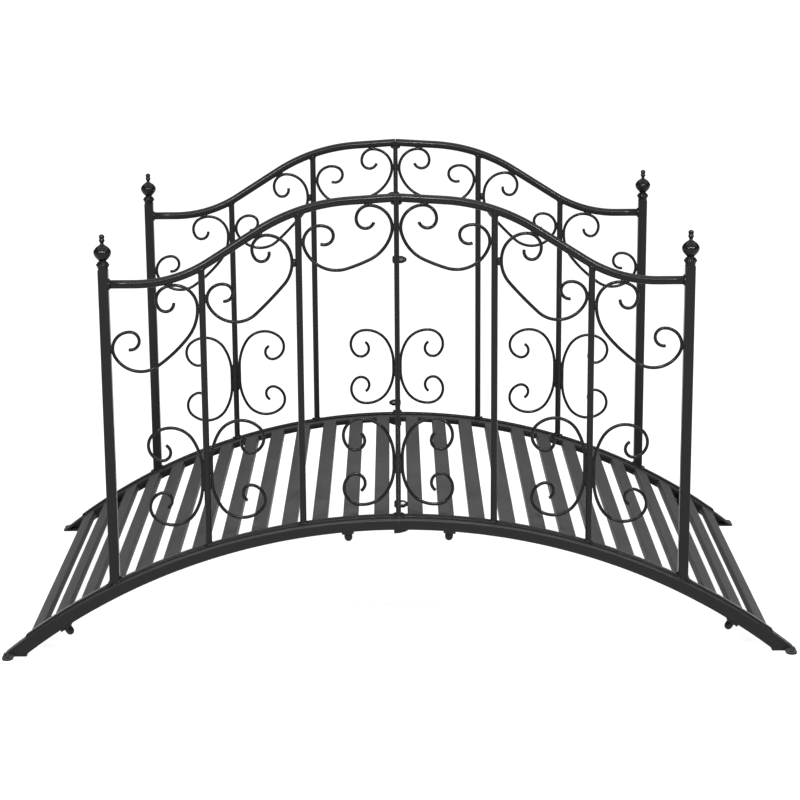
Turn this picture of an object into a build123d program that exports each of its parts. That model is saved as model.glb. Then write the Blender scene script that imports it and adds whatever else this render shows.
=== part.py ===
from build123d import *
from math import cos, degrees, radians, sin, sqrt
import os

# Arched steel garden bridge: two half spans bolted together at the crown.
# Units are millimetres. +X runs along the span, +Y across it to the back,
# +Z is up. The origin is on the ground under the middle of the bridge.

# overall
span = 1200.0              # toe to toe
panel_y = 317.0            # railing centre plane, either side of the middle
meeting_gap = 0.25         # each half stops this far short of the middle

# deck side beams, bent from angle
beam_top_radius = 960.0
beam_top_z = 212.0         # top of the beam at the crown
lip_radius = 925.0         # lower edge of the upright leg
lip_z = 195.7              # lower edge at the crown
steel = 3.0                # plate thickness of beams, bars and plates
flange_width = 32.0        # level leg of the angle, pointing inwards
toe_flange = 20.0          # its width beyond the last tread
beam_out = 11.0            # outer face of the beam beyond the railing plane

# feet
foot_inner_x = 564.0
sole_width = 12.0
ear_length = 17.0
ear_reach = 19.0
peg_hole = 7.0

# treads
tread_count = 13           # in each half
tread_width = 23.0
tread_depth = 10.0
tread_pitch = 47.0         # measured round the arch
first_tread = 25.5         # middle of the first tread from the crown
last_tread = 588.0         # the last one sits a little nearer, by the flange end
tread_round = 1.5

# railing
bar_width = 12.0
bar_end_x = 565.0
post_x = 427.5
post_size = 15.0
post_top_z = 591.4
baluster_x = [142.5, 284.5]
baluster_size = 9.5
centre_bar = 3.6           # thickness of each crown bar
rail_size = 12.7
rail_crown_z = 694.0
rail_start_slope = 3.6     # degrees
rail_start = 68.0
rail_crown_bend = 285.0
rail_slope = 32.3          # degrees
rail_straight = 85.0
rail_end_bend = 202.0
rod = 4.6                  # scroll rod
clearance = 0.1            # between a scroll and the upright it is welded to
middle_weld = 2.6          # a thicker weld on the crown side of the middle scroll
outside_drop = 10.9        # the outer scroll of the lower pair hangs lower

# hardware
bolt_size = 6.0
bolt_hole = 6.6
hex_size = 10.0
head_size = 10.7           # flat round bolt head
head_height = 2.6
nut_height = 5.5
nut_dome = 4.4
stud_angles = [4.63, 32.4]  # degrees round the arch
stud_nut_size = 12.2       # round domed nuts under the beams
stud_nut_height = 7.3
clamp_length = 18.0
clamp_gap = 0.3            # between the leg and the plate under it

arch_z = beam_top_z - beam_top_radius
lip_centre_z = lip_z - lip_radius
bar_radius = beam_top_radius + steel
outer_y = panel_y + beam_out
inner_y = outer_y - flange_width

os.makedirs("parts", exist_ok=True)


def arc_z(x, radius, centre_z):
    return centre_z + sqrt(radius ** 2 - x ** 2)


def arc_x(z, radius, centre_z):
    return sqrt(radius ** 2 - (z - centre_z) ** 2)


def arch_edge(x0, x1, radius, centre_z):
    xm = (x0 + x1) / 2
    ends = [(x, arc_z(x, radius, centre_z)) for x in (x0, xm, x1)]
    return ThreePointArc(*ends)


def slab(face, y0, y1):
    # stands a drawn face up in the XZ plane, solid from y0 to y1
    return Pos(0, y1, 0) * extrude(Plane.XZ * face, amount=y1 - y0)


def arch_strip(x0, x1, top, bottom):
    # face between two arcs, each given as (radius, centre height)
    upper = arch_edge(x0, x1, *top)
    lower = arch_edge(x1, x0, *bottom)
    line_out = Line(upper @ 1, lower @ 0)
    line_in = Line(lower @ 1, upper @ 0)
    return make_face([upper, line_out, lower, line_in])


def radial(angle, radius, y):
    # a frame on the arch: local Z points outwards along the radius
    a = radians(angle)
    at = (radius * sin(a), y, arch_z + radius * cos(a))
    return Plane(origin=at, x_dir=(cos(a), 0, -sin(a)), z_dir=(sin(a), 0, cos(a)))


def hexagon_bar(across, length):
    return extrude(RegularPolygon(across / 2, 6, major_radius=False), amount=length)


def bends_to_wire(x, z, heading, bends, turn):
    # a rod bent round formers: every bend is (radius, degrees)
    edges = []
    h = radians(heading)
    for r, sweep_deg in bends:
        cx = x - turn * r * sin(h)
        cz = z + turn * r * cos(h)
        pts = [(x, 0, z)]
        for part in (0.5, 1.0):
            hh = h + turn * radians(sweep_deg) * part
            pts.append((cx + turn * r * sin(hh), 0, cz - turn * r * cos(hh)))
        edges.append(Edge.make_three_point_arc(*pts))
        h = h + turn * radians(sweep_deg)
        x = pts[2][0]
        z = pts[2][2]
    return Wire(edges)


def round_bar(path, size):
    start = Plane(origin=path @ 0, z_dir=path % 0)
    return sweep(start * Circle(size / 2), path=path)


# ---- one half, drawn at the right and in the XZ plane ---------------------

# top rail: straight off the crown, an easy bend, a straight fall, then level
slope0 = radians(rail_start_slope)
slope1 = radians(rail_slope)
x0 = -20.0
z0 = rail_crown_z + 20.0 * sin(slope0) / cos(slope0)
x1 = rail_start * cos(slope0)
z1 = rail_crown_z - rail_start * sin(slope0)
mid = (slope0 + slope1) / 2
x1m = x1 + rail_crown_bend * (sin(mid) - sin(slope0))
z1m = z1 - rail_crown_bend * (cos(slope0) - cos(mid))
x2 = x1 + rail_crown_bend * (sin(slope1) - sin(slope0))
z2 = z1 - rail_crown_bend * (cos(slope0) - cos(slope1))
x3 = x2 + rail_straight * cos(slope1)
z3 = z2 - rail_straight * sin(slope1)
half = slope1 / 2
x3m = x3 + rail_end_bend * (sin(slope1) - sin(half))
z3m = z3 - rail_end_bend * (cos(half) - cos(slope1))
x4 = x3 + rail_end_bend * sin(slope1)
z4 = z3 - rail_end_bend * (1 - cos(slope1))
rail_wire = Wire([
    Edge.make_line((x0, 0, z0), (x1, 0, z1)),
    Edge.make_three_point_arc((x1, 0, z1), (x1m, 0, z1m), (x2, 0, z2)),
    Edge.make_line((x2, 0, z2), (x3, 0, z3)),
    Edge.make_three_point_arc((x3, 0, z3), (x3m, 0, z3m), (x4, 0, z4)),
    Edge.make_line((x4, 0, z4), (post_x - post_size / 2, 0, z4)),
])
middle_cut = Pos(-100 + meeting_gap, 0, 400) * Box(200, 900, 1000)
top_rail = round_bar(rail_wire, rail_size) - middle_cut

below_bar = Rot(90, 0, 0) * Cylinder(bar_radius, 200)
below_bar = Pos(0, 0, arch_z) * below_bar
under_rail = round_bar(rail_wire, rail_size)

# end post with its cast finial
post_height = post_top_z - 60
end_post = Pos(post_x, 0, 60 + post_height / 2) * Box(post_size, post_size, post_height)
end_post = end_post - below_bar
end_post = fillet(end_post.edges().filter_by(Axis.Z), 1.2)

collar_line = Polyline(
    (0, 0), (6.6, 0), (6.6, 3.4), (10, 6.2), (10, 8.8), (5.8, 11.6), (5.8, 16), (0, 16), (0, 0))
neck_line = Polyline(
    (0, 34), (3.6, 34), (2.8, 36.6), (3.2, 39.4), (4.8, 40.4), (4.8, 42.0), (2.6, 43.4),
    (2.6, 46), (0, 46), (0, 34))
finial = revolve(Plane.XZ * make_face(collar_line), Axis.Z)
finial = finial + revolve(Plane.XZ * make_face(neck_line), Axis.Z)
finial = finial + Pos(0, 0, 24.4) * Sphere(12.9) + Pos(0, 0, 45.7) * Sphere(4.1)
finial = Pos(post_x, 0, post_top_z) * finial

# balusters and the flat bar at the crown
balusters = []
for bx in baluster_x:
    b = Pos(bx, 0, 400) * Cylinder(baluster_size / 2, 640)
    b = b - below_bar
    cap_cut = b - under_rail
    balusters.append(max(
        [s for s in cap_cut.solids() if s.center().Z < 600], key=lambda s: s.volume))

cb = Pos(meeting_gap + centre_bar / 2, 0, 450) * Box(centre_bar, bar_width, 520)
cb = cb - below_bar
cb = cb - under_rail
centre_solid = max([s for s in cb.solids() if s.center().Z < 600], key=lambda s: s.volume)
crown_bolt_z = [603.0, 233.0]
for z in crown_bolt_z:
    centre_solid = centre_solid - Pos(0, 0, z) * Rot(0, 90, 0) * Cylinder(bolt_hole / 2, 40)
crown_bar = centre_solid

# bottom bar, lying on the beam
bar_face = arch_strip(
    meeting_gap, bar_end_x, (bar_radius, arch_z), (beam_top_radius, arch_z))
bottom_bar = slab(bar_face, -bar_width / 2, bar_width / 2)

# upper scrolls: a curled rod in every bay
half_baluster = baluster_size / 2
crown_face = meeting_gap + centre_bar


def into_bay(near, far, x, z, heading, bends):
    # bent so that it stands between two uprights and touches both
    trial = bends_to_wire(x, z, heading, bends, -1).bounding_box()
    size = (far - near - rod - 2 * clearance) / (trial.max.X - trial.min.X)
    fitted = [(r * size, sweep_deg) for r, sweep_deg in bends]
    wire = bends_to_wire(0, z, heading, fitted, -1)
    shift = near + clearance + rod / 2 - wire.bounding_box().min.X
    return Pos(shift, 0, 0) * wire


outer_scroll = into_bay(
    baluster_x[1] + half_baluster, post_x - post_size / 2, 394.0, 471.75, 191,
    [(13.4, 188), (25.3, 122), (42.7, 96), (225, 16), (69.2, 42), (33.1, 118), (20.6, 93), (12.1, 150)])
middle_scroll = into_bay(
    baluster_x[0] + half_baluster + middle_weld, baluster_x[1] - half_baluster, 253.6, 543.1, 187,
    [(13.2, 173), (23.5, 131), (45.2, 106), (600, 6), (52.0, 58), (37.7, 72), (22.2, 128), (12.0, 158)])
inner_scroll = into_bay(
    crown_face, baluster_x[0] - half_baluster, 111.0, 626.7, 204.6,
    [(13.4, 177), (25.0, 138), (49.4, 87), (253, 8), (60.7, 49), (32.6, 106), (19.3, 101), (13.1, 150)])

# lower scrolls: two C scrolls back to back on the outer baluster,
# and one beside the crown bar
pair_half = bends_to_wire(
    224.5, 240.5, 27, [(12.5, 170), (23.4, 121), (38.4, 101), (85.6, 31)], 1)
crown_half = bends_to_wire(
    54.0, 254.0, 146, [(14.2, 191), (25.3, 129), (43.2, 65), (73.6, 31)], -1)
pair_mid_z = 288.8
crown_mid_z = 298.5


def c_scroll(lower, mid_z, touch_x):
    # the lower curl, a straight flank and the same curl upside down,
    # moved along the span so that the flank stands at touch_x
    low = lower @ 1
    upper = lower.mirror(Plane(origin=(0, 0, mid_z), z_dir=(0, 0, 1)))
    flank = Edge.make_line(low, (low.X, 0, 2 * mid_z - low.Z))
    back = [Edge(e.wrapped) for e in reversed(upper.edges())]
    wire = Wire(lower.edges() + [flank] + back)
    return Pos(touch_x - low.X, 0, 0) * wire


upper_scrolls = [round_bar(w, rod) for w in (outer_scroll, middle_scroll, inner_scroll)]

stand_off = rod / 2 + clearance
inside = c_scroll(pair_half, pair_mid_z, baluster_x[1] - half_baluster - stand_off)
outside = inside.mirror(Plane(origin=(baluster_x[1], 0, 0), z_dir=(1, 0, 0)))
outside = Pos(0, 0, -outside_drop) * outside
beside = c_scroll(crown_half, crown_mid_z, crown_face + stand_off)
lower_scrolls = [round_bar(w, rod) for w in (inside, outside, beside)]

# ---- deck half -------------------------------------------------------------

toe_x = arc_x(steel, beam_top_radius, arch_z)
heel_x = arc_x(steel, lip_radius, lip_centre_z)
top_edge = arch_edge(meeting_gap, toe_x, beam_top_radius, arch_z)
lip_edge = arch_edge(heel_x, meeting_gap, lip_radius, lip_centre_z)
sole_line = Line(top_edge @ 1, lip_edge @ 0)
crown_line = Line(lip_edge @ 1, top_edge @ 0)
leg_face = make_face([top_edge, sole_line, lip_edge, crown_line])
upright_leg = slab(leg_face, -outer_y, -outer_y + steel)
under_top = (beam_top_radius - steel, arch_z)
flange_face = arch_strip(meeting_gap, bar_end_x, (beam_top_radius, arch_z), under_top)
toe_face = arch_strip(bar_end_x - 1, toe_x, (beam_top_radius, arch_z), under_top)
flange = slab(flange_face, -outer_y, -inner_y)
flange = flange + slab(toe_face, -outer_y, -outer_y + toe_flange)
below_sole = Pos(0, 0, -50 + steel) * Box(1400, 900, 100)
deck_beam = upright_leg + (flange - below_sole)
for angle in stud_angles:
    drill = radial(angle, beam_top_radius, -panel_y) * Cylinder(bolt_hole / 2, 20)
    deck_beam = deck_beam - drill
    bottom_bar = bottom_bar - radial(angle, beam_top_radius, 0) * Cylinder(bolt_size / 2, 20)

# foot: a narrow flat sole with an ear for a ground peg
sole_len = span / 2 - foot_inner_x
sole = Pos((span / 2 + foot_inner_x) / 2, -outer_y + sole_width / 2, steel / 2) * Box(
    sole_len, sole_width, steel)
ear_x = span / 2 - ear_length / 2
ear_round = ear_length / 2
ear_box_len = ear_reach - ear_round
ear = Pos(ear_x, -outer_y - ear_box_len / 2, steel / 2) * Box(ear_length, ear_box_len, steel)
ear_y = -outer_y - ear_box_len
ear = ear + Pos(ear_x, ear_y, steel / 2) * Cylinder(ear_round, steel)
foot = sole + ear - Pos(ear_x, ear_y, 0) * Cylinder(peg_hole / 2, 20)

# clamp plates and their bolts, square to the arch
clamp_plates = []
clamp_bolts = []
for angle in stud_angles:
    a = radians(angle)
    apart = lip_centre_z - arch_z
    lip_r = apart * cos(a) + sqrt(lip_radius ** 2 - (apart * sin(a)) ** 2)
    here = radial(angle, lip_r - steel / 2 - clamp_gap, -outer_y + 14)
    plate = here * Box(clamp_length, 28, steel)
    hole = radial(angle, lip_r, -panel_y) * Cylinder(bolt_hole / 2, 20)
    clamp_plates.append(plate - hole)
    seat = lip_r - steel - clamp_gap - 0.1
    length = beam_top_radius + 2.0 - seat
    shank = radial(angle, seat + length / 2, -panel_y) * Cylinder(bolt_size / 2 - 0.05, length)
    nut_z = seat - stud_nut_height
    nut = radial(angle, nut_z + stud_nut_height / 2, -panel_y) * Cylinder(
        stud_nut_size / 2, stud_nut_height)
    dome = radial(angle, nut_z, -panel_y) * Sphere(stud_nut_size / 2)
    clamp_bolts.append(shank + nut + dome)

# lug behind the leg of the right half, catching the left half at the crown
lug_low = lip_z - 6.5
lug_top = lip_z + 9
lug_line = Polyline(
    (-7, lug_top), (-7, lug_low), (1, lug_low), (10, lip_z - 4), (17, lip_z), (17, lug_top),
    (-7, lug_top))
crown_lug = slab(make_face(lug_line), -outer_y + steel, -outer_y + 2 * steel)

# treads, square to the arch
treads = []
for n in range(tread_count):
    along_arch = min(first_tread + n * tread_pitch, last_tread)
    angle = degrees(along_arch / beam_top_radius)
    bar = Box(tread_width, 2 * inner_y, tread_depth)
    bar = fillet(bar.edges().filter_by(Axis.Y), tread_round)
    treads.append(radial(angle, beam_top_radius - tread_depth / 2, 0) * bar)

# crown bolts run along the span through both crown bars, with domed nuts
def crown_bolt(z, grip):
    def along(x):
        return Pos(x, -panel_y, z) * Rot(0, 90, 0)

    head = along(-grip - head_height) * extrude(Circle(head_size / 2), amount=head_height)
    shank = along(-grip) * extrude(Circle(bolt_size / 2), amount=2 * grip + 8)
    nut = along(grip) * hexagon_bar(hex_size, nut_height)
    nut = nut + along(grip + nut_height + 0.9) * Sphere(nut_dome)
    bore = along(grip - 2) * extrude(Circle(bolt_size / 2 + 0.05), amount=2 + 8.3)
    return head + shank, nut - bore


bolts = []
nuts = []
for z in crown_bolt_z:
    bolt, nut = crown_bolt(z, crown_face)
    bolts.append(bolt)
    nuts.append(nut)

# ---- the four corners --------------------------------------------------------

across = Plane.YZ          # mirrors left to right
turned = Rot(0, 0, 180)    # the back railing is the front one turned round


def corners(shape):
    right = shape
    left = shape.mirror(across)
    return {
        "front_right": right,
        "front_left": left,
        "back_left": turned * right,
        "back_right": turned * left,
    }


def save(name, shapes):
    solids = []
    for s in shapes:
        solids.extend(s.solids())
    shape = solids[0] if len(solids) == 1 else Compound(children=solids)
    shape.label = name
    export_step(shape, "parts/" + name + ".step")


def on_panel(shape):
    return Pos(0, -panel_y, 0) * shape


single = {
    "deck_beam": deck_beam,
    "bottom_bar": on_panel(bottom_bar),
    "end_post": on_panel(end_post),
    "top_rail": on_panel(top_rail),
    "crown_bar": on_panel(crown_bar),
}
for piece, shape in single.items():
    for corner, placed in corners(shape).items():
        save(piece + "_" + corner, [placed])

grouped = {"upper_scrolls": upper_scrolls, "lower_scrolls": lower_scrolls}
for piece, rods in grouped.items():
    sets = [corners(on_panel(r)) for r in rods]
    for corner in sets[0]:
        save(piece + "_" + corner, [s[corner] for s in sets])

for side in ("front", "back"):
    both = [corners(on_panel(b)) for b in balusters]
    save("balusters_" + side, [s[k] for s in both for k in s if k.startswith(side)])

for piece, shapes in {
    "foot_plates": [foot],
    "finials": [on_panel(finial)],
    "clamp_plates": clamp_plates,
    "clamp_bolts": clamp_bolts,
}.items():
    save(piece, [placed for s in shapes for placed in corners(s).values()])

save("crown_bolts", bolts + [turned * b for b in bolts])
save("crown_nuts", nuts + [turned * n for n in nuts])
save("crown_lugs", [crown_lug, turned * crown_lug])
save("treads_right", treads)
save("treads_left", [t.mirror(across) for t in treads])
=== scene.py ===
import bmesh
import bpy
import math
from mathutils import Matrix, Vector


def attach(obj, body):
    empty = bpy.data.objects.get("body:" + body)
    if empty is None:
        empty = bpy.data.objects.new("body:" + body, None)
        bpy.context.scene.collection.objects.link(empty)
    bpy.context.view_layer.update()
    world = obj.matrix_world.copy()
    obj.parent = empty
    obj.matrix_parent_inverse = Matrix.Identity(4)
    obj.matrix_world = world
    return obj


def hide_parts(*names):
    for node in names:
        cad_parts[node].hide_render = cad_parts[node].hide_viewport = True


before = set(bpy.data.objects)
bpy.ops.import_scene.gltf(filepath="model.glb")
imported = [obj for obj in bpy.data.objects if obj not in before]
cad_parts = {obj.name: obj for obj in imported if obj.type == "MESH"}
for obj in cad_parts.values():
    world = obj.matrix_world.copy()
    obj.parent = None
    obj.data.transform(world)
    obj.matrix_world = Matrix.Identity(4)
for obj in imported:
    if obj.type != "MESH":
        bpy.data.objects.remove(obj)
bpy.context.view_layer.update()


# ---- studio ------------------------------------------------------------------
# Seamless white sheet under the bridge, a broad soft light overhead, and a long
# strip and three softboxes at the front that give the paint its highlights. A
# pale band runs round the horizon behind the sheet.

view = bpy.context.scene.view_settings
view.view_transform = "Standard"
view.look = "None"

camera_data = bpy.data.cameras.new("camera")
camera_data.lens = 100.14
camera_data.sensor_width = 36
camera_data.clip_end = 80
camera = bpy.data.objects.new("camera", camera_data)
camera.location = (-0.004, -3.5083, 1.1744)
camera.rotation_euler = [math.radians(a) for a in (76.2375, 0.3984, -0.2305)]
bpy.context.scene.collection.objects.link(camera)
bpy.context.scene.camera = camera

reach = 40
sheet_mesh = bpy.data.meshes.new("floor")
sheet_mesh.from_pydata(
    [(-reach, -reach, 0), (reach, -reach, 0), (reach, reach, 0), (-reach, reach, 0)],
    [], [(0, 1, 2, 3)])
floor = bpy.data.objects.new("floor", sheet_mesh)
bpy.context.scene.collection.objects.link(floor)
floor_paint = bpy.data.materials.new("floor_white")
floor_paint.use_nodes = True
floor_shader = floor_paint.node_tree.nodes["Principled BSDF"]
floor_shader.inputs["Base Color"].default_value = (0.2, 0.2, 0.2, 1)
floor_shader.inputs["Emission Color"].default_value = (1, 1, 1, 1)
floor_shader.inputs["Emission Strength"].default_value = 0.9
floor_shader.inputs["Roughness"].default_value = 0.9
floor_shader.inputs["Specular IOR Level"].default_value = 0.1
sheet_mesh.materials.append(floor_paint)


def lamp(name, kind, energy, location, aim, **settings):
    data = bpy.data.lights.new(name, kind)
    data.energy = energy
    for key, value in settings.items():
        setattr(data, key, value)
    light = bpy.data.objects.new(name, data)
    light.location = location
    way = Vector(aim) - Vector(location)
    light.rotation_euler = way.to_track_quat("-Z", "Y").to_euler()
    bpy.context.scene.collection.objects.link(light)


lamp("overhead", "SUN", 2.6, (0.3, 0.4, 4), (0, 0, 0), angle=math.radians(100))
lamp("strip_front", "AREA", 260.0, (0.0, -3.9, 3.5), (0, -0.3, 0.6),
     shape="RECTANGLE", size=6.0, size_y=0.6)
for number, across in enumerate((-2.6, 0.1, 2.9)):
    lamp("softbox_%d" % number, "AREA", 130.0, (across, -3.6, 3.3), (0, -0.3, 0.6),
         shape="RECTANGLE", size=0.4, size_y=0.45)


class Wire:
    """A socket of a shader, which can stand in a sum or a product."""

    def __init__(self, tree, socket=None):
        self.tree = tree
        self.socket = socket

    def node(self, kind, settings=None, sockets=None, out=0):
        made = self.tree.nodes.new(kind)
        for key, value in (settings or {}).items():
            setattr(made, key, value)
        for key, value in (sockets or {}).items():
            if isinstance(value, Wire):
                self.tree.links.new(value.socket, made.inputs[key])
            else:
                made.inputs[key].default_value = value
        return Wire(self.tree, made.outputs[out])

    def math(self, operation, a, b):
        return self.node("ShaderNodeMath", {"operation": operation}, {0: a, 1: b})

    def __add__(self, other):
        return self.math("ADD", self, other)

    def __radd__(self, other):
        return self.math("ADD", other, self)

    def __sub__(self, other):
        return self.math("SUBTRACT", self, other)

    def __rsub__(self, other):
        return self.math("SUBTRACT", other, self)

    def __mul__(self, other):
        return self.math("MULTIPLY", self, other)

    def __rmul__(self, other):
        return self.math("MULTIPLY", other, self)


world = bpy.data.worlds.new("studio")
bpy.context.scene.world = world
world.use_nodes = True
sky = Wire(world.node_tree)
direction = sky.node("ShaderNodeTexCoord", out="Generated")
depth = sky.node("ShaderNodeSeparateXYZ", None, {0: direction}, out="Y")
height = sky.node("ShaderNodeSeparateXYZ", None, {0: direction}, out="Z")
front_level = 0.1
back_level = 0.6
horizon_level = 1.0
wall = sky.node("ShaderNodeMapRange", None, {
    "Value": depth, "From Min": -0.5, "From Max": 0.7,
    "To Min": front_level, "To Max": back_level})
band = sky.node("ShaderNodeMapRange", None, {
    "Value": height, "From Min": 0.15, "From Max": 0.28, "To Min": 1.0, "To Max": 0.0})
shade = band * horizon_level + (1 - band) * wall
backdrop = world.node_tree.nodes["Background"]
world.node_tree.links.new(shade.socket, backdrop.inputs["Strength"])


# ---- deck side beams ---------------------------------------------------------
# Each half span stands on two bent steel angles, front and back. The leg shows
# outside, the level flange turns in under the railing and carries the treads;
# past the last tread the flange is cut narrower down to the toe.

gap = 0.02                  # between the two halves, all sizes in millimetres
outer_y = 328.0
panel_y = 317.0
steel = 3.0
beam_radius = 960.0
beam_top = 212.0
lip_radius = 925.0
lip_top = 195.7
bar_end = 565.0
CORNERS = {"front_right": (1, 1), "front_left": (-1, 1),
           "back_left": (-1, -1), "back_right": (1, -1)}


def arch(x, radius, top):
    return top - radius + math.sqrt(radius ** 2 - x ** 2)


def powder_coat(name, colour, roughness, grain=1.0, painted_top_light=0.5, specular=0.12, pale_lift=0.012):
    """Baked black powder: a fine orange peel, an uneven satin, fine pale flecks, and painted light
    on level faces, which get a paler base colour as if lit from above.
    """
    paint = bpy.data.materials.new(name)
    paint.use_nodes = True
    shader = paint.node_tree.nodes["Principled BSDF"]
    mix = Wire(paint.node_tree)
    place = mix.node("ShaderNodeTexCoord", out="Object")
    peel = mix.node("ShaderNodeTexNoise", None, {
        "Vector": place, "Scale": 720.0, "Detail": 2.0, "Roughness": 0.55})
    speck = mix.node("ShaderNodeTexNoise", None, {
        "Vector": place, "Scale": 1500.0, "Detail": 1.0, "Roughness": 0.5})
    cloud = mix.node("ShaderNodeTexNoise", None, {
        "Vector": place, "Scale": 26.0, "Detail": 4.0, "Roughness": 0.6})
    facing = mix.node("ShaderNodeNewGeometry", out="Normal")
    up = mix.node("ShaderNodeSeparateXYZ", None, {0: facing}, out="Z")
    # Painted light: faces turned upwards, found from the normal, get a paler base colour as if they
    # caught more light from above. Their roughness rises a little with it.
    level = mix.node("ShaderNodeMapRange", None, {
        "Value": up, "From Min": 0.58, "From Max": 0.9, "To Min": 0.0, "To Max": 1.0})
    painted_top_light_mask = level * (0.45 + 0.6 * cloud + 0.5 * (speck - 0.5)) * painted_top_light
    pale = [c * 2 + pale_lift for c in colour] + [1.0]
    # Painted light is mixed into the base colour on faces turned up. The same paler colour is then
    # sprinkled at random over every face as fine flecks.
    tint = mix.node("ShaderNodeMix", {"data_type": "RGBA"}, {
        "Factor": painted_top_light_mask, 6: list(colour) + [1.0], 7: pale}, out=2)
    flecks = mix.node("ShaderNodeMix", {"data_type": "RGBA"}, {
        "Factor": 0.25 * speck, 6: tint, 7: pale}, out=2)
    satin = roughness + 0.16 * (cloud - 0.5) + 0.1 * (speck - 0.5) + 0.08 * painted_top_light_mask
    skin = mix.node("ShaderNodeBump", None, {
        "Height": peel, "Strength": 0.28 * grain, "Distance": 0.00025})
    paint.node_tree.links.new(flecks.socket, shader.inputs["Base Color"])
    paint.node_tree.links.new(satin.socket, shader.inputs["Roughness"])
    paint.node_tree.links.new(skin.socket, shader.inputs["Normal"])
    shader.inputs["Specular IOR Level"].default_value = specular
    return paint


def piece(name, points, faces, paint, replaces=(), sharp=32):
    """Makes one piece from points in millimetres and fixes it to the bridge."""
    mesh = bpy.data.meshes.new(name)
    mesh.from_pydata([[c * 0.001 for c in p] for p in points], [], faces)
    body = bmesh.new()
    body.from_mesh(mesh)
    bmesh.ops.remove_doubles(body, verts=body.verts, dist=2e-6)
    bmesh.ops.dissolve_degenerate(body, edges=body.edges, dist=2e-6)
    bmesh.ops.recalc_face_normals(body, faces=body.faces)
    for face in body.faces:
        face.smooth = True
    body.to_mesh(mesh)
    body.free()
    mesh.set_sharp_from_angle(angle=math.radians(sharp))
    mesh.materials.append(paint)
    made = bpy.data.objects.new(name, mesh)
    bpy.context.scene.collection.objects.link(made)
    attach(made, "root")
    if replaces:
        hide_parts(*replaces)
    return made


def placed(shape, sx, sy):
    """The same shape in another corner of the bridge."""
    points, faces = shape
    return [(p[0] * sx, p[1] * sy, p[2]) for p in points], faces


def joined(shapes):
    points = []
    faces = []
    for some, these in shapes:
        start = len(points)
        points.extend(some)
        faces.extend([tuple(i + start for i in face) for face in these])
    return points, faces


def loft(loops, ends=True):
    """Skin over a row of like loops, with a flat face on each end."""
    count = len(loops[0])
    points = [p for loop in loops for p in loop]
    faces = []
    for row in range(len(loops) - 1):
        a = row * count
        b = a + count
        for i in range(count):
            j = (i + 1) % count
            faces.append((a + i, a + j, b + j, b + i))
    if ends:
        faces.append(tuple(reversed(range(count))))
        faces.append(tuple(range(len(points) - count, len(points))))
    return points, faces


def quarter(cx, cy, r, start, steps=5):
    """Points of a quarter circle that begins at the angle start."""
    turns = [math.radians(start + 90 * i / steps) for i in range(steps + 1)]
    return [(cx + r * math.cos(t), cy + r * math.sin(t)) for t in turns]


# The faces of the beams and plates that turn up are painted lighter, as painted light from above.
deck_paint = powder_coat(
    "deck_powder_coat", (0.0035, 0.0035, 0.0037), 0.36, painted_top_light=0.9, pale_lift=0.028)
flange_width = 32.0
toe_width = 20.0
toe_length = 32.6
rows = 60


def angle_section(x, width):
    """The angle cut across at x: y and height, with a rounded bend."""
    top = arch(x, beam_radius, beam_top)
    slope = x / math.sqrt(beam_radius ** 2 - x ** 2)
    under = top - steel * math.sqrt(1 + slope ** 2)
    foot = arch(x, lip_radius, lip_top)
    bend = 3.6
    inner_bend = 1.5
    edge = 0.55
    line = [(-outer_y, foot + edge)]
    line += [(y, z) for y, z in reversed(quarter(-outer_y + bend, top - bend, bend, 90))]
    line += [(y, z) for y, z in reversed(
        quarter(-outer_y + width - edge, top - edge, edge, 0, 2))]
    line += [(y, z) for y, z in reversed(
        quarter(-outer_y + width - edge, under + edge, edge, 270, 2))]
    line += quarter(
        -outer_y + steel + inner_bend, under - inner_bend, inner_bend, 90, 3)
    line += [(-outer_y + steel, foot + edge), (-outer_y + steel - edge, foot),
             (-outer_y + edge, foot)]
    return [(x, y, max(z, steel)) for y, z in line]


def beam_half():
    stations = [gap + (bar_end - gap) * i / rows for i in range(rows + 1)]
    deck_part = [angle_section(x, flange_width) for x in stations]
    toe_part = [angle_section(bar_end + toe_length * i / 8, toe_width) for i in range(9)]
    return loft(deck_part + toe_part)


beam_shape = beam_half()
for corner, (sx, sy) in CORNERS.items():
    points, faces = placed(beam_shape, sx, sy)
    piece("side_beam_" + corner, points, faces, deck_paint,
          ["deck_beam_" + corner], sharp=40)


# ---- feet --------------------------------------------------------------------
# A narrow strip welded under each beam end, with a round ear turned outwards
# that takes a ground peg. Cut from 3 mm plate, edges taken off before coating.

def plate(outlines, thickness, edge=0.45):
    """Flat plate from closed outlines (the first outside, the rest holes)."""
    curve = bpy.data.curves.new("blank", "CURVE")
    curve.dimensions = "2D"
    curve.fill_mode = "BOTH"
    curve.extrude = (thickness / 2 - edge) * 0.001
    curve.bevel_depth = edge * 0.001
    curve.bevel_resolution = 1
    curve.offset = -edge * 0.001
    for outline in outlines:
        line = curve.splines.new("POLY")
        line.points.add(len(outline) - 1)
        for at, (x, y) in zip(line.points, outline):
            at.co = (x * 0.001, y * 0.001, 0, 1)
        line.use_cyclic_u = True
    blank = bpy.data.objects.new("blank", curve)
    bpy.context.scene.collection.objects.link(blank)
    bpy.context.view_layer.update()
    mesh = bpy.data.meshes.new_from_object(
        blank.evaluated_get(bpy.context.evaluated_depsgraph_get()))
    points = [tuple(v.co * 1000) for v in mesh.vertices]
    faces = [tuple(p.vertices) for p in mesh.polygons]
    bpy.data.objects.remove(blank)
    bpy.data.curves.remove(curve)
    bpy.data.meshes.remove(mesh)
    return points, faces


def moved(shape, matrix):
    points, faces = shape
    return [tuple(matrix @ Vector(p)) for p in points], faces


def circle(cx, cy, r, steps=28, start=0, sweep=360):
    turns = [math.radians(start + sweep * i / steps) for i in range(steps)]
    return [(cx + r * math.cos(t), cy + r * math.sin(t)) for t in turns]


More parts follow.
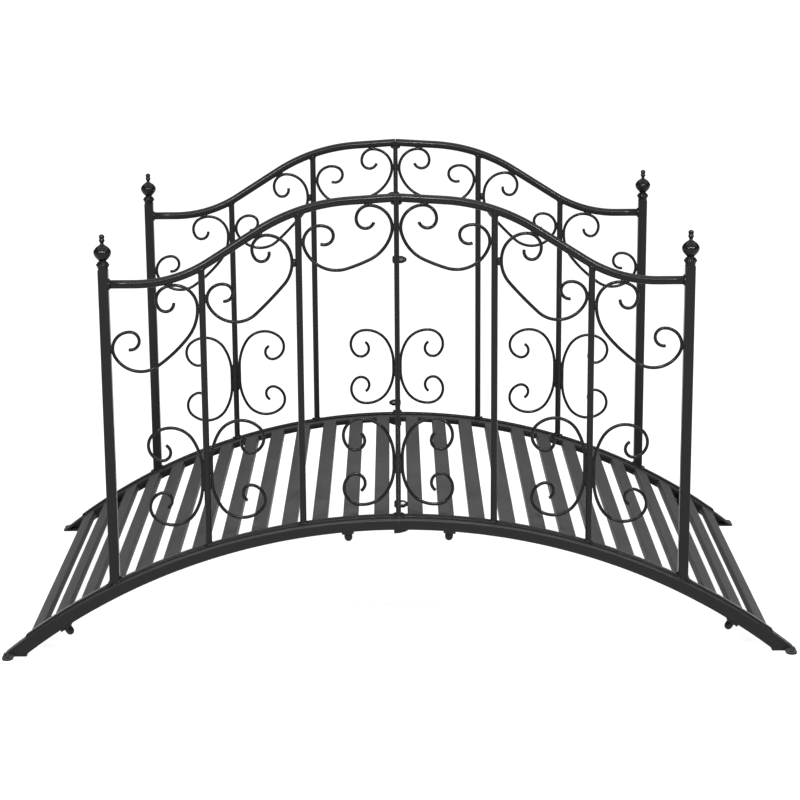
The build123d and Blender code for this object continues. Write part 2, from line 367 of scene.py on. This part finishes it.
span_end = 600.0
foot_inner = 564.0
ear_inner = 583.0
ear_middle = (span_end + ear_inner) / 2
ear_y = -outer_y - 10.5
ear_radius = 8.45
peg_hole = 3.5
strip_back = -outer_y + 12
foot_outline = [(foot_inner, strip_back), (foot_inner, -outer_y), (ear_inner, -outer_y)]
foot_outline += circle(ear_middle, ear_y, ear_radius, 16, 180, 180) + [
    (span_end, ear_y), (span_end, strip_back)]
foot_shape = moved(
    plate([foot_outline, circle(ear_middle, ear_y, peg_hole)], steel),
    Matrix.Translation((0, 0, steel / 2)))
points, faces = joined([placed(foot_shape, *signs) for signs in CORNERS.values()])
piece("foot_strips", points, faces, deck_paint, ["foot_plates"])


# ---- lugs under the crown ----------------------------------------------------
# A tongue of 3 mm plate welded behind the leg of one half; the other half drops
# in front of it, which keeps the two beams in line while the bolts go in.

lug_outline = [
    (x, lip_top + z) for x, z in (
        (-7, 8), (-7, -6.2), (-5.6, -6.5), (1, -6.1), (10, -3.8), (17, 0), (17, 8))]
upright = Matrix.Rotation(math.radians(90), 4, "X")
stand = Matrix.Translation((0, -outer_y + steel * 1.5, 0)) @ upright
lug = moved(plate([lug_outline], steel), stand)
points, faces = joined([lug, placed(lug, -1, -1)])
piece("crown_tongues", points, faces, deck_paint, ["crown_lugs"])


# ---- treads ------------------------------------------------------------------
# Thirteen flattened steel tubes in each half, 23 by 10 mm, standing square to
# the arch between the flanges and welded to them at both ends.

# The tread tops are painted lighter than their sides, as painted light from above, at the full
# strength of the mask.
tread_paint = powder_coat(
    "tread_powder_coat", (0.0065, 0.0065, 0.0067), 0.46, grain=1.5, painted_top_light=1.0, specular=0.16,
    pale_lift=0.033)
tread_half = 11.5
tread_depth = 10.0
tread_reach = 296.0
tread_round = 1.9
first_tread = 25.5
tread_pitch = 47.0
last_tread = 588.0
treads_in_half = 13
tread_waver = 0.12
tread_sunk = 0.1


def tread_section():
    line = quarter(tread_half - tread_round, -tread_round, tread_round, 0, 5)
    line += quarter(-tread_half + tread_round, -tread_round, tread_round, 90, 5)
    line += quarter(-tread_half + tread_round, -tread_depth + tread_round, tread_round, 180, 4)
    line += quarter(tread_half - tread_round, -tread_depth + tread_round, tread_round, 270, 4)
    return line


def tread_turn(number):
    return min(first_tread + number * tread_pitch, last_tread) / beam_radius


def tread(number):
    turn = tread_turn(number)
    loops = []
    for share in range(25):
        y = tread_reach * (share / 12 - 1)
        waver = tread_waver * math.sin(number * 1.7 + share * 0.9)
        loop = []
        for u, v in tread_section():
            up = beam_radius + v - tread_sunk + waver * 0.4
            loop.append((up * math.sin(turn) + u * math.cos(turn), y,
                         beam_top - beam_radius + up * math.cos(turn) - u * math.sin(turn)))
        loops.append(loop)
    return loft(loops)


deck_shape = joined([tread(number) for number in range(treads_in_half)])
for side, sx in (("right", 1), ("left", -1)):
    points, faces = placed(deck_shape, sx, 1)
    piece("tread_row_" + side, points, faces, tread_paint,
          ["treads_" + side], sharp=50)


# ---- bottom bars -------------------------------------------------------------
# A 12 by 3 mm flat bar laid along the flange of each beam. The uprights of the
# railing are welded to it, and two studs clamp it down.

# The faces of the bars and rails that turn up are painted lighter, as painted light from above.
railing_paint = powder_coat(
    "railing_powder_coat", (0.0035, 0.0035, 0.0037), 0.22, grain=0.45, painted_top_light=0.5,
    pale_lift=0.02)
bar_half = 6.0


def bar_height(x):
    """Height of the bottom bar's upper face."""
    return arch(x, beam_radius + steel, beam_top + steel)


def flat_section(x):
    low = arch(x, beam_radius, beam_top)
    high = bar_height(x)
    edge = 0.7
    under_edge = 0.2
    line = quarter(-panel_y + bar_half - edge, high - edge, edge, 0, 3)
    line += quarter(-panel_y - bar_half + edge, high - edge, edge, 90, 3)
    line += [(-panel_y - bar_half, low + under_edge), (-panel_y - bar_half + under_edge, low),
             (-panel_y + bar_half - under_edge, low), (-panel_y + bar_half, low + under_edge)]
    return [(x, y, z) for y, z in line]


bar_shape = loft([flat_section(gap + (bar_end - gap) * i / rows) for i in range(rows + 1)])
for corner, (sx, sy) in CORNERS.items():
    points, faces = placed(bar_shape, sx, sy)
    piece("foot_bar_" + corner, points, faces, railing_paint,
          ["bottom_bar_" + corner])


# ---- top rails ---------------------------------------------------------------
# 12.7 mm round tube in an S bend: nearly level at the crown, a fall of 32
# degrees, then level into the end post. The two halves meet end to end.

rail_radius = 6.35
rail_crown = 694.0
post_x = 427.5
post_half = 7.5


def bent(x, z, heading, bends, step=2.0):
    """Points along a rod: each bend is (radius, degrees), or (None, length).
    A plus angle turns left seen from the front, a minus angle right."""
    points = [(x, z)]
    h = math.radians(heading)
    for r, amount in bends:
        if r is None:
            count = max(1, round(amount / 8))
            for i in range(count):
                x += amount / count * math.cos(h)
                z += amount / count * math.sin(h)
                points.append((x, z))
            continue
        turn = math.copysign(1, amount)
        sweep = math.radians(abs(amount))
        count = max(3, math.ceil(sweep / math.radians(5)), math.ceil(r * sweep / (4 * step)))
        cx = x - turn * r * math.sin(h)
        cz = z + turn * r * math.cos(h)
        for i in range(1, count + 1):
            k = h + turn * sweep * i / count
            points.append((cx + turn * r * math.sin(k), cz - turn * r * math.cos(k)))
        h += turn * sweep
        x, z = points[-1]
    return points


def rod(line, radius, y=-panel_y, sides=20, blunt=0.5):
    """Round bar along a line of (x, z), its ends cut square and eased."""
    loops = []
    last = len(line) - 1
    for i, (x, z) in enumerate(line):
        a = line[max(i - 1, 0)]
        b = line[min(i + 1, last)]
        length = math.hypot(b[0] - a[0], b[1] - a[1])
        tx = (b[0] - a[0]) / length
        tz = (b[1] - a[1]) / length
        rings = [(0.0, radius)]
        if i == 0:
            rings = [(0.0, radius - blunt), (blunt, radius)]
        if i == last:
            rings = [(-blunt, radius), (0.0, radius - blunt)]
        for along, r in rings:
            loop = []
            for k in range(sides):
                t = 2 * math.pi * k / sides
                n = r * math.cos(t)
                loop.append((x + tx * along - tz * n, y + r * math.sin(t),
                             z + tz * along + tx * n))
            loops.append(loop)
    return loft(loops)


rail_line = bent(gap, rail_crown, -3.6, [
    (None, 68), (285, -28.7), (None, 85), (202, 32.3)])
rail_line.append((post_x - post_half + 0.3, rail_line[-1][1]))
rail_shape = rod(rail_line, rail_radius, sides=32, blunt=0.35)
for corner, (sx, sy) in CORNERS.items():
    points, faces = placed(rail_shape, sx, sy)
    piece("hand_rail_" + corner, points, faces, railing_paint,
          ["top_rail_" + corner], sharp=50)


# ---- end posts ---------------------------------------------------------------
# 15 mm square tube with soft corners, standing on the bottom bar where it has
# been cut to the fall of the arch.

post_top = 591.4
corner_round = 1.7
post_base = bar_height(post_x)
cut_run = 12
rim = 0.8
rim_in = 0.7


def post_ring(height, half, follow):
    line = []
    for cx, cy, start in ((1, 1, 0), (-1, 1, 90), (-1, -1, 180), (1, -1, 270)):
        line += quarter(cx * (half - corner_round), cy * (half - corner_round),
                        corner_round, start, 4)
    ring = []
    for x, y in line:
        low = bar_height(post_x + x)
        ring.append((post_x + x, y - panel_y, low if follow else height))
    return ring


post_shape = loft(
    [post_ring(0, post_half, True)]
    + [post_ring(post_base + cut_run + (post_top - rim - post_base - cut_run) * i / 10,
                 post_half, False) for i in range(11)]
    + [post_ring(post_top, post_half - rim_in, False)])
for corner, (sx, sy) in CORNERS.items():
    points, faces = placed(post_shape, sx, sy)
    piece("square_post_" + corner, points, faces, railing_paint,
          ["end_post_" + corner], sharp=40)


# ---- finials -----------------------------------------------------------------
# Cast balls on a collar with a small knob, pressed into the post tops. The
# casting is smooth, so its coat is glossier than on the bars.

# A little painted light from above pales the faces of the finials that turn up.
finial_paint = powder_coat(
    "finial_powder_coat", (0.003, 0.003, 0.0032), 0.12, grain=0.25, painted_top_light=0.1, specular=0.14)
finial_profile = [
    (0, 52.0), (2.1, 51.6), (3.6, 50.3), (4.1, 48.4), (3.8, 46.5), (3.4, 45.4), (3.8, 44.6),
    (4.2, 43.4), (4.1, 42.0), (3.4, 40.7), (2.7, 39.4), (2.6, 38.2), (3.3, 37.0), (5.2, 35.6),
    (8.3, 33.4), (10.9, 30.6), (12.6, 27.6), (13.0, 25.2), (12.3, 22.0), (10.4, 18.6), (7.9, 15.6),
    (5.9, 13.6), (5.4, 12.4), (6.2, 11.6), (7.6, 11.0), (8.0, 10.0), (8.3, 9.2), (9.4, 8.4),
    (9.8, 7.2), (9.5, 6.0), (8.6, 4.6), (7.9, 3.0), (7.5, 1.4), (7.3, 0.0), (0, 0.0)]


def eased(line, steps=4):
    """A smooth line through the points given."""
    out = []
    for i in range(len(line) - 1):
        p = [line[max(i - 1, 0)], line[i], line[i + 1], line[min(i + 2, len(line) - 1)]]
        for k in range(steps):
            t = k / steps
            out.append(tuple(
                0.5 * (2 * p[1][c] + (p[2][c] - p[0][c]) * t
                       + (2 * p[0][c] - 5 * p[1][c] + 4 * p[2][c] - p[3][c]) * t ** 2
                       + (3 * p[1][c] - p[0][c] - 3 * p[2][c] + p[3][c]) * t ** 3)
                for c in (0, 1)))
    return out + [line[-1]]


def turned(profile, cx, cy, base, sides=48):
    """A lathe-turned shape: the profile is (radius, height) from top to bottom."""
    loops = []
    for r, z in profile[1:-1]:
        loops.append([
            (cx + r * math.cos(2 * math.pi * k / sides), cy + r * math.sin(2 * math.pi * k / sides),
             base + z) for k in range(sides)])
    points, faces = loft(loops, ends=False)
    tip = len(points)
    points.append((cx, cy, base + profile[0][1]))
    points.append((cx, cy, base + profile[-1][1]))
    low = len(loops) - 1
    for k in range(sides):
        j = (k + 1) % sides
        faces.append((tip, j, k))
        faces.append((tip + 1, low * sides + k, low * sides + j))
    return points, faces


finial_line = [(max(r, 0), z) for r, z in eased(finial_profile[:-1], 4)] + [finial_profile[-1]]
finial_shape = turned(finial_line, post_x, -panel_y, post_top)
points, faces = joined([placed(finial_shape, *signs) for signs in CORNERS.values()])
piece("ball_finials", points, faces, finial_paint, ["finials"], sharp=60)


# ---- balusters ---------------------------------------------------------------
# Two 9.5 mm round bars in each half panel, from the bottom bar up into the
# underside of the rail.

baluster_x = (142.5, 284.5)
baluster_radius = 4.75
baluster_coated = 4.9
in_rail = 1.0
foot_run = 8


def rail_height(x):
    for (xa, za), (xb, zb) in zip(rail_line, rail_line[1:]):
        if xa <= x <= xb:
            return za + (zb - za) * (x - xa) / (xb - xa)
    return rail_line[-1][1]


def baluster(x, sides=28):
    loops = []
    top = rail_height(x) - in_rail
    foot = bar_height(x)
    for i in range(13):
        loop = []
        for k in range(sides):
            t = 2 * math.pi * k / sides
            px = x + baluster_coated * math.cos(t)
            z = foot + foot_run + (top - foot - foot_run) * (i - 1) / 11
            if i == 0:
                z = bar_height(px)
            loop.append((px, -panel_y + baluster_coated * math.sin(t), z))
        loops.append(loop)
    return loft(loops)


bars_half = joined([baluster(x) for x in baluster_x])
for side, sy in (("front", 1), ("back", -1)):
    points, faces = joined([placed(bars_half, 1, sy), placed(bars_half, -1, sy)])
    piece("round_bars_" + side, points, faces, railing_paint,
          ["balusters_" + side], sharp=50)


# ---- crown bars --------------------------------------------------------------
# The halves of each railing meet in two flat bars back to back, which the
# crown bolts pull together.

crown_thick = 3.6
crown_start = 0.25
crown_face = crown_start + crown_thick
under_rail = 1.5


def crown_ring(z):
    edge = 0.6
    line = []
    for cx, cy, start in ((1, 1, 0), (-1, 1, 90), (-1, -1, 180), (1, -1, 270)):
        mid = (gap + crown_face) / 2
        line += [(mid + x, y) for x, y in quarter(
            cx * ((crown_face - gap) / 2 - edge), cy * (bar_half - edge), edge, start, 3)]
    return [(x, y - panel_y, z) for x, y in line]


crown_foot = beam_top + steel
crown_shape = loft([
    crown_ring(crown_foot + (rail_crown - under_rail - crown_foot) * i / 12)
    for i in range(13)])
for corner, (sx, sy) in CORNERS.items():
    points, faces = placed(crown_shape, sx, sy)
    piece("joint_bar_" + corner, points, faces, railing_paint,
          ["crown_bar_" + corner])


# ---- upper scrolls -----------------------------------------------------------
# 4.6 mm rod curled at both ends round a former, one to each bay, each sprung
# in between two uprights and welded to them and to the rail.

# The upper sides of the rods are painted lighter, as painted light from above.
scroll_paint = powder_coat(
    "scroll_powder_coat", (0.0035, 0.0035, 0.0037), 0.22, grain=0.45, painted_top_light=0.3)
rod_radius = 2.3
rod_coated = 2.48
clear = 0.1
middle_stand = 2.6          # a wider space at the inner baluster, filled with weld


def into_bay(near, far, z, heading, bends):
    """A scroll sized so that it stands between two uprights."""
    trial = bent(0, z, heading, bends, 0.5)
    xs = [p[0] for p in trial]
    size = (far - near - 2 * rod_radius - 2 * clear) / (max(xs) - min(xs))
    line = bent(0, z, heading, [(r * size, a) for r, a in bends], 0.5)
    shift = near + clear + rod_radius - min(p[0] for p in line)
    return [(x + shift, z) for x, z in line]


outer_scroll = into_bay(
    baluster_x[1] + baluster_radius, post_x - post_half, 471.75, 191,
    [(13.4, -188), (25.3, -122), (42.7, -96), (225, -16), (69.2, -42), (33.1, -118),
     (20.6, -93), (12.1, -150)])
middle_scroll = into_bay(
    baluster_x[0] + baluster_radius + middle_stand, baluster_x[1] - baluster_radius, 543.1, 187,
    [(13.2, -173), (23.5, -131), (45.2, -106), (600, -6), (52.0, -58), (37.7, -72),
     (22.2, -128), (12.0, -158)])
inner_scroll = into_bay(
    crown_face, baluster_x[0] - baluster_radius, 626.7, 204.6,
    [(13.4, -177), (25.0, -138), (49.4, -87), (253, -8), (60.7, -49), (32.6, -106),
     (19.3, -101), (13.1, -150)])
upper_lines = (outer_scroll, middle_scroll, inner_scroll)
upper_shape = joined([rod(line, rod_coated) for line in upper_lines])
for corner, (sx, sy) in CORNERS.items():
    points, faces = placed(upper_shape, sx, sy)
    piece("top_curls_" + corner, points, faces, scroll_paint,
          ["upper_scrolls_" + corner], sharp=50)


# ---- lower scrolls -----------------------------------------------------------
# C scrolls of the same rod: a pair back to back on the outer baluster, the
# outside one set lower, and one beside the crown bar.

def c_scroll(x, z, heading, bends, middle, touch):
    """One curl, a straight flank and the same curl upside down."""
    low = bent(x, z, heading, bends, 0.5)
    shift = touch - low[-1][0]
    low = [(px + shift, pz) for px, pz in low]
    return low + [(px, 2 * middle - pz) for px, pz in reversed(low)]


stand_off = rod_radius + clear
outside_drop = 10.9
inside_flank = baluster_x[1] - baluster_radius - stand_off
inside = c_scroll(224.5, 240.5, 27, [(12.5, 170), (23.4, 121), (38.4, 101), (85.6, 31)],
                  288.8, inside_flank)
outside = [(2 * baluster_x[1] - x, z - outside_drop) for x, z in inside]
beside = c_scroll(54.0, 254.0, 146, [(14.2, -191), (25.3, -129), (43.2, -65), (73.6, -31)],
                  298.5, crown_face + stand_off)
lower_lines = (inside, outside, beside)
lower_shape = joined([rod(line, rod_coated) for line in lower_lines])
for corner, (sx, sy) in CORNERS.items():
    points, faces = placed(lower_shape, sx, sy)
    piece("low_curls_" + corner, points, faces, scroll_paint,
          ["lower_scrolls_" + corner], sharp=50)


# ---- clamp plates and studs --------------------------------------------------
# Under each beam two small plates bridge the leg and the flange; a stud through
# the bottom bar and the plate is closed by a round domed nut.

# A little painted light from above pales the faces of the fixings that turn up.
fixing_paint = powder_coat(
    "blackened_fixings", (0.004, 0.004, 0.004), 0.2, grain=0.4, painted_top_light=0.1, specular=0.14)
stud_angles = (4.63, 32.4)
clamp_gap = 0.3
clamp_half = (9.0, 14.0)
plate_outline = [
    (x * clamp_half[0], y * clamp_half[1]) for x, y in ((-1, -1), (1, -1), (1, 1), (-1, 1))]
stud_top = 961.6
stud_edge = 960.9
stud_nut = [(0, -13.5), (2.6, -13.0), (4.6, -11.4), (5.8, -9.2), (6.15, -7.0), (6.15, -1.0),
            (5.7, 0.0), (3.0, 0.0), (0, 0.0)]


def on_arch(angle, radius, y):
    """Where a part sits square to the arch: up is away from its centre."""
    a = math.radians(angle)
    at = Matrix.Translation(
        (radius * math.sin(a), y, beam_top - beam_radius + radius * math.cos(a)))
    return at @ Matrix.Rotation(a, 4, "Y")


def seat_radius(angle):
    a = math.radians(angle)
    apart = (lip_top - lip_radius) - (beam_top - beam_radius)
    return apart * math.cos(a) + math.sqrt(lip_radius ** 2 - (apart * math.sin(a)) ** 2)


plates = []
studs = []
for angle in stud_angles:
    seat = seat_radius(angle)
    plates.append(moved(plate([plate_outline], steel),
                        on_arch(angle, seat - steel / 2 - clamp_gap, -outer_y + clamp_half[1])))
    nut = turned(eased(stud_nut, 3), 0, 0, 0, 36)
    studs.append(moved(nut, on_arch(angle, seat - steel - clamp_gap - 0.1, -panel_y)))
    shank = turned([(0, stud_top - seat), (2.2, stud_top - seat), (2.9, stud_edge - seat),
                    (2.9, 0), (0, 0)], 0, 0, 0, 24)
    studs.append(moved(shank, on_arch(angle, seat, -panel_y)))
for name, shapes, paint, slot, node in (
        ("clamps", plates, deck_paint, "deck_paint", "clamp_plates"),
        ("clamp_studs", studs, fixing_paint, "fixings", "clamp_bolts")):
    points, faces = joined([placed(joined(shapes), *signs) for signs in CORNERS.values()])
    piece(name, points, faces, paint, [node])


# ---- crown bolts -------------------------------------------------------------
# Two M6 bolts join each pair of crown bars: a low round head on one side and a
# domed hexagon nut on the other.

bolt_heights = (603.0, 233.0)
head_profile = [(0, 2.6), (3.2, 2.5), (4.9, 1.9), (5.35, 0.9), (5.35, 0.0), (0, 0.0)]
dome_profile = [
    (0, 10.8), (1.6, 10.5), (3.0, 9.4), (4.0, 7.6), (4.4, 6.2), (4.5, 5.0), (0, 4.0)]
nut_across = 10.0
nut_height = 5.5
across_corners = 1.1547     # corner to corner, over flat to flat


def hexagon_nut(across, height, sides=48):
    """Hexagon with both end corners turned off."""
    loops = []
    for z, trim in ((0, 0.94), (0.45, 1.0), (height - 0.9, 1.0), (height, 0.9)):
        loop = []
        for k in range(sides):
            t = 2 * math.pi * k / sides
            flat = across / 2 / math.cos((t + math.pi / 6) % (math.pi / 3) - math.pi / 6)
            r = min(flat, across / 2 * across_corners * trim)
            loop.append((r * math.cos(t), r * math.sin(t), z))
        loops.append(loop)
    return loft(loops)


to_right = Matrix.Rotation(math.radians(90), 4, "Y")
to_left = Matrix.Rotation(math.radians(-90), 4, "Y")
bolts = []
nuts = []
for z in bolt_heights:
    left = Matrix.Translation((-crown_face, -panel_y, z)) @ to_left
    right = Matrix.Translation((crown_face, -panel_y, z)) @ to_right
    bolts.append(moved(turned(eased(head_profile, 3), 0, 0, 0, 36), left))
    nuts.append(moved(hexagon_nut(nut_across, nut_height), right))
    nuts.append(moved(turned(eased(dome_profile, 3), 0, 0, 0, 36), right))
for name, shapes, node in (
        ("joint_bolts", bolts, "crown_bolts"), ("joint_nuts", nuts, "crown_nuts")):
    one = joined(shapes)
    points, faces = joined([one, placed(one, -1, -1)])
    piece(name, points, faces, fixing_paint, [node])


# ---- welds -------------------------------------------------------------------
# Short ripple beads laid before coating: round every upright's foot and head,
# where each scroll touches, at the rail ends and under the ends of the treads.

# The upper faces of the beads are painted lighter, as painted light from above.
weld_paint = powder_coat(
    "weld_powder_coat", (0.0035, 0.0035, 0.0037), 0.24, grain=1.2, painted_top_light=0.3, specular=0.16)


def bead(path, radius, closed=False, sides=10, ripple=0.16):
    """A run of weld metal along a path in space, swollen at every drop."""
    loops = []
    last = len(path) - 1
    for i, p in enumerate(path):
        if closed:
            a, b = Vector(path[i - 1]), Vector(path[(i + 1) % len(path)])
        else:
            a, b = Vector(path[max(i - 1, 0)]), Vector(path[min(i + 1, last)])
        way = (b - a).normalized()
        side = way.cross(Vector((0.31, 0.17, 0.93)))
        side.normalize()
        over = way.cross(side)
        r = radius * (1 + ripple * math.sin(i * 2.1) + 0.08 * math.sin(i * 5.3 + p[0]))
        if not closed:
            r *= max(0.25, math.sqrt(max(0.0, 1 - (2 * i / last - 1) ** 4)))
        loops.append([
            tuple(Vector(p) + side * r * math.cos(2 * math.pi * k / sides)
                  + over * r * math.sin(2 * math.pi * k / sides)) for k in range(sides)])
    if closed:
        return loft(loops + [loops[0]], ends=False)
    return loft(loops)


def run(a, b, drops=7):
    return [tuple(Vector(a).lerp(Vector(b), i / (drops - 1))) for i in range(drops)]


welds = []
for x in baluster_x:
    ring = []
    crown = []
    for k in range(16):
        t = 2 * math.pi * k / 16
        px = x + (baluster_radius + 0.5) * math.cos(t)
        py = -panel_y + (baluster_radius + 0.5) * math.sin(t)
        on_bar = max(-panel_y - 5.6, min(-panel_y + 5.6, py))
        ring.append((px, on_bar, bar_height(px) + 0.5))
        lift = math.sqrt(max(0, rail_radius ** 2 - (py + panel_y) ** 2))
        crown.append((px, py, rail_height(px) - lift * 1.08))
    welds.append(bead(ring, 1.7, closed=True))
    welds.append(bead(crown, 1.3, closed=True))
    welds.append(bead(run((x + 5.5, -panel_y - 3.4, bar_height(x + 5.5) + 1.0),
                          (x + 8.5, -panel_y - 4.5, bar_height(x + 8.5) + 0.2), 5), 1.9))

post_seam = []
for k in range(24):
    t = 2 * math.pi * k / 24
    wide = (post_half + 0.4) / max(abs(math.cos(t)), abs(math.sin(t)))
    px = post_x + wide * math.cos(t)
    py = -panel_y + wide * math.sin(t)
    drop = 0.6 if abs(py + panel_y) < bar_half else -2.4
    post_seam.append((px, py, bar_height(px) + drop))
welds.append(bead(post_seam, 1.7, closed=True))
welds.append(bead(run((post_x + 8.2, -panel_y - 4, bar_height(post_x + 8.2) + 1.2),
                      (post_x + 12.5, -panel_y - 1, bar_height(post_x + 12.5) + 0.2), 6), 2.1))

rail_end_z = rail_line[-1][1]
welds.append(bead([
    (post_x - post_half - 0.4, -panel_y + (rail_radius + 0.3) * math.cos(2 * math.pi * k / 20),
     rail_end_z + (rail_radius + 0.3) * math.sin(2 * math.pi * k / 20)) for k in range(20)],
    1.7, closed=True))

under_crown = rail_crown - rail_radius
for y in (-4.6, 0.0, 4.6):
    welds.append(bead(run((crown_face - 0.4, -panel_y + y, under_crown - 3.2),
                          (crown_face + 4.2, -panel_y + y * 0.7, under_crown - 0.3), 6), 1.8))
    welds.append(bead(run((crown_face - 0.2, -panel_y + y, crown_foot + 3.0),
                          (crown_face + 4.0, -panel_y + y, crown_foot + 0.2), 6), 1.9))

for line, reach_z in ((outer_scroll, 5.5), (middle_scroll, 6.0), (inner_scroll, 5.0)):
    for pick, off in ((min, -1), (max, 1)):
        x, z = pick(line, key=lambda p: p[0])
        thick = middle_stand if (line is middle_scroll and pick is min) else 0.0
        at = x + off * (rod_radius + thick / 2 - 0.3)
        for y in (-1.5, 1.5):
            welds.append(bead(run((at, -panel_y + y, z - reach_z),
                                  (at, -panel_y + y, z + reach_z)), 1.6 + thick / 2))
    x, z = min(line, key=lambda p: abs(rail_height(p[0]) - p[1]) if p[0] > 12 else 999)
    slope = (rail_height(x + 3) - rail_height(x - 3)) / 6
    mid_z = (z + rod_radius + rail_height(x) - rail_radius) / 2
    for y in (-1.6, 1.6):
        welds.append(bead(run((x - 6, -panel_y + y, mid_z - 6 * slope),
                              (x + 6, -panel_y + y, mid_z + 6 * slope)), 1.9))

for x, low_z, high_z in (
        (inside_flank + rod_radius, 258, 306),
        (2 * baluster_x[1] - inside_flank - rod_radius, 256, 304),
        (crown_face + 0.2, 281, 302)):
    for y in (-2.0, 2.0):
        middle = (low_z + high_z) / 2
        for start, stop in ((low_z, middle - 1), (middle + 1, high_z)):
            welds.append(bead(run((x, -panel_y + y, start), (x, -panel_y + y, stop), 15), 1.5))

welds.append(bead(run((ear_inner + 1, -outer_y - 0.6, steel + 0.4),
                      (span_end - 2.5, -outer_y - 0.6, steel + 0.4), 9), 1.5))
welds.append(bead(run((foot_inner + 2, -outer_y + steel + 0.6, steel + 0.4),
                      (span_end - 6, -outer_y + steel + 0.6, steel + 0.4), 17), 1.3))
for number in range(treads_in_half):
    turn = tread_turn(number)
    for off in (-1, 1):
        ends = []
        for share in (-0.55, 0.0):
            u = off * 6.0 + share * 5
            low = beam_radius - 4.6
            ends.append((low * math.sin(turn) + u * math.cos(turn), -tread_reach - 0.3,
                         beam_top - beam_radius + low * math.cos(turn) - u * math.sin(turn)))
        welds.append(bead(run(*ends, 5), 1.5))

weld_shape = joined(welds)
for corner, (sx, sy) in CORNERS.items():
    points, faces = placed(weld_shape, sx, sy)
    piece("weld_beads_" + corner, points, faces, weld_paint, sharp=70)
